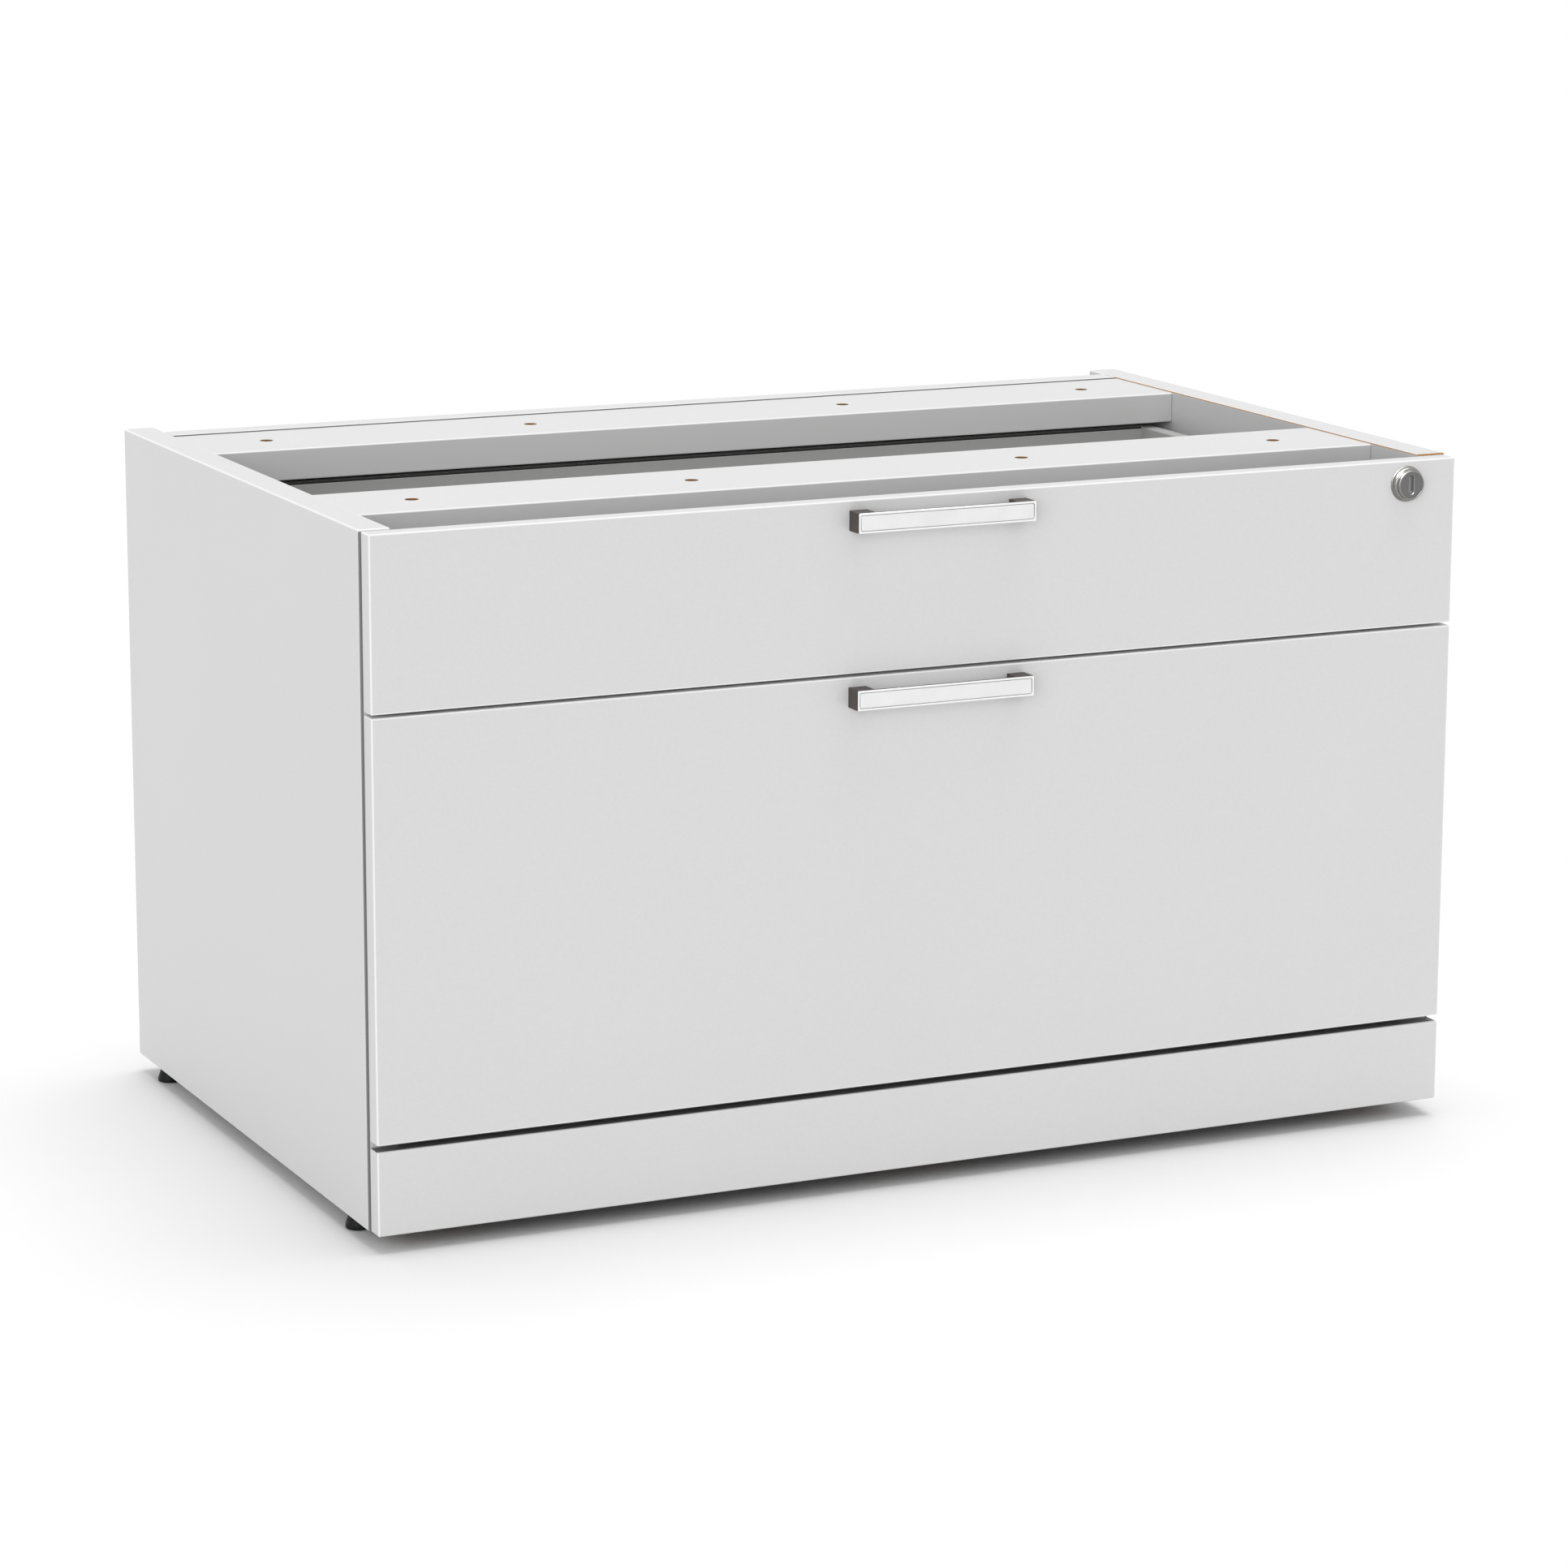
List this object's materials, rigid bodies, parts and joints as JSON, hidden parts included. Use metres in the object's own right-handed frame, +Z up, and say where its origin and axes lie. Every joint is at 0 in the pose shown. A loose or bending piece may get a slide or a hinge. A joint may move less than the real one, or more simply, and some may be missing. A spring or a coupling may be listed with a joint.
{
  "type": "drawer cabinet",
  "caption": "Low wide drawer cabinet with a lockable box drawer over a file drawer, bar handles, telescopic slides, levelling glides and drilled top rails for a worktop.",
  "frame": {"origin": "on the floor, in the middle of the box around the closed cabinet, handles included", "axes": "+X to the right as seen from the front, +Y towards the back (the fronts face -Y), +Z up"},
  "size_m": [0.9144, 0.58, 0.539],
  "materials": {
    "case_laminate": "pale satin laminate",
    "front_laminate": "pale satin laminate",
    "box_board": "grey satin laminate",
    "block_wood": "raw",
    "insert_brass": "plain",
    "lock_steel": "zinc plated",
    "lock_chrome": "bright",
    "lock_face": "satin",
    "screw_steel": "zinc plated",
    "glide_plastic": "dark",
    "file_rail_aluminium": "anodised",
    "handle_post": "dark satin",
    "handle_frame": "bright",
    "handle_insert": "pale satin",
    "slide_steel": "zinc plated",
    "cage_steel": "bright",
    "bumper_rubber": "soft"
  },
  "bodies": {
    "cabinet": {"left_side_panel": "case_laminate", "right_side_panel": "case_laminate", "lock_keeper": "lock_steel", "front_top_rail": "case_laminate", "rear_top_rail": "case_laminate", "back_panel": "case_laminate", "bottom_panel": "case_laminate", "plinth_panel": "case_laminate", "plinth_blocks": "block_wood", "case_dowels": "block_wood", "glide_inserts": "insert_brass", "slide_case_screws": "screw_steel", "upper_slide_outers": "slide_steel", "lower_slide_outers": "slide_steel"},
    "lock_cylinder": {"lock_plug": "lock_face", "lock_crank": "lock_steel"},
    "bolt": {"lock_bolt": "lock_steel"},
    "upper_drawer": {"upper_front": "front_laminate", "upper_left_box_side": "box_board", "upper_right_box_side": "box_board", "upper_box_front": "box_board", "upper_box_back": "box_board", "upper_box_bottom": "box_board", "upper_handle_posts": "handle_post", "upper_handle_frame": "handle_frame", "upper_handle_insert": "handle_insert", "upper_slide_inners": "slide_steel", "upper_bumpers": "bumper_rubber", "upper_drawer_screws": "screw_steel", "lock_housing": "lock_chrome", "lock_case": "lock_steel", "lock_case_screws": "screw_steel"},
    "upper_middle_slides": {"upper_slide_middles": "slide_steel"},
    "upper_outer_cages": {"upper_outer_ball_cages": "cage_steel"},
    "upper_inner_cages": {"upper_inner_ball_cages": "cage_steel"},
    "lower_drawer": {"lower_front": "front_laminate", "lower_left_box_side": "box_board", "lower_right_box_side": "box_board", "lower_box_front": "box_board", "lower_box_back": "box_board", "lower_box_bottom": "box_board", "lower_handle_posts": "handle_post", "lower_handle_frame": "handle_frame", "lower_handle_insert": "handle_insert", "lower_slide_inners": "slide_steel", "lower_bumpers": "bumper_rubber", "lower_drawer_screws": "screw_steel", "front_file_rail": "file_rail_aluminium", "rear_file_rail": "file_rail_aluminium"},
    "lower_middle_slides": {"lower_slide_middles": "slide_steel"},
    "lower_outer_cages": {"lower_outer_ball_cages": "cage_steel"},
    "lower_inner_cages": {"lower_inner_ball_cages": "cage_steel"},
    "front_left_foot": {"front_left_glide": "glide_plastic"},
    "front_right_foot": {"front_right_glide": "glide_plastic"},
    "rear_left_foot": {"rear_left_glide": "glide_plastic"},
    "rear_right_foot": {"rear_right_glide": "glide_plastic"}
  },
  "joints": [
    {"name": "upper_drawer_slide", "type": "slide", "parent": "cabinet", "child": "upper_drawer", "axis": [0, -1, 0], "range_m": [0, 0.4]},
    {"name": "upper_middle_slides_slide", "type": "slide", "parent": "cabinet", "child": "upper_middle_slides", "axis": [0, -1, 0], "range_m": [0, 0.2]},
    {"name": "upper_outer_cages_slide", "type": "slide", "parent": "cabinet", "child": "upper_outer_cages", "axis": [0, -1, 0], "range_m": [0, 0.1]},
    {"name": "upper_inner_cages_slide", "type": "slide", "parent": "cabinet", "child": "upper_inner_cages", "axis": [0, -1, 0], "range_m": [0, 0.3]},
    {"name": "lower_drawer_slide", "type": "slide", "parent": "cabinet", "child": "lower_drawer", "axis": [0, -1, 0], "range_m": [0, 0.4]},
    {"name": "lower_middle_slides_slide", "type": "slide", "parent": "cabinet", "child": "lower_middle_slides", "axis": [0, -1, 0], "range_m": [0, 0.2]},
    {"name": "lower_outer_cages_slide", "type": "slide", "parent": "cabinet", "child": "lower_outer_cages", "axis": [0, -1, 0], "range_m": [0, 0.1]},
    {"name": "lower_inner_cages_slide", "type": "slide", "parent": "cabinet", "child": "lower_inner_cages", "axis": [0, -1, 0], "range_m": [0, 0.3]},
    {"name": "lock_turn", "type": "hinge", "parent": "upper_drawer", "child": "lock_cylinder", "pos_m": [0.4113, -0.273, 0.5197], "axis": [0, 1, 0], "range_deg": [0, 90]},
    {"name": "bolt_slide", "type": "slide", "parent": "upper_drawer", "child": "bolt", "axis": [1, 0, 0], "range_m": [0, 0.0085]},
    {"name": "front_left_glide_turn", "type": "hinge", "parent": "cabinet", "child": "front_left_foot", "pos_m": [-0.4447, -0.2, 0], "axis": [0, 0, 1], "continuous": true},
    {"name": "front_right_glide_turn", "type": "hinge", "parent": "cabinet", "child": "front_right_foot", "pos_m": [0.4447, -0.2, 0], "axis": [0, 0, 1], "continuous": true},
    {"name": "rear_left_glide_turn", "type": "hinge", "parent": "cabinet", "child": "rear_left_foot", "pos_m": [-0.4447, 0.248, 0], "axis": [0, 0, 1], "continuous": true},
    {"name": "rear_right_glide_turn", "type": "hinge", "parent": "cabinet", "child": "rear_right_foot", "pos_m": [0.4447, 0.248, 0], "axis": [0, 0, 1], "continuous": true}
  ],
  "couplings": [
    {"joint": "upper_middle_slides_slide", "follows": "upper_drawer_slide", "ratio": 0.5},
    {"joint": "upper_outer_cages_slide", "follows": "upper_drawer_slide", "ratio": 0.25},
    {"joint": "upper_inner_cages_slide", "follows": "upper_drawer_slide", "ratio": 0.75},
    {"joint": "lower_middle_slides_slide", "follows": "lower_drawer_slide", "ratio": 0.5},
    {"joint": "lower_outer_cages_slide", "follows": "lower_drawer_slide", "ratio": 0.25},
    {"joint": "lower_inner_cages_slide", "follows": "lower_drawer_slide", "ratio": 0.75},
    {"joint": "bolt_slide", "follows": "lock_turn", "m_per_rad": 0.0054019}
  ]
}
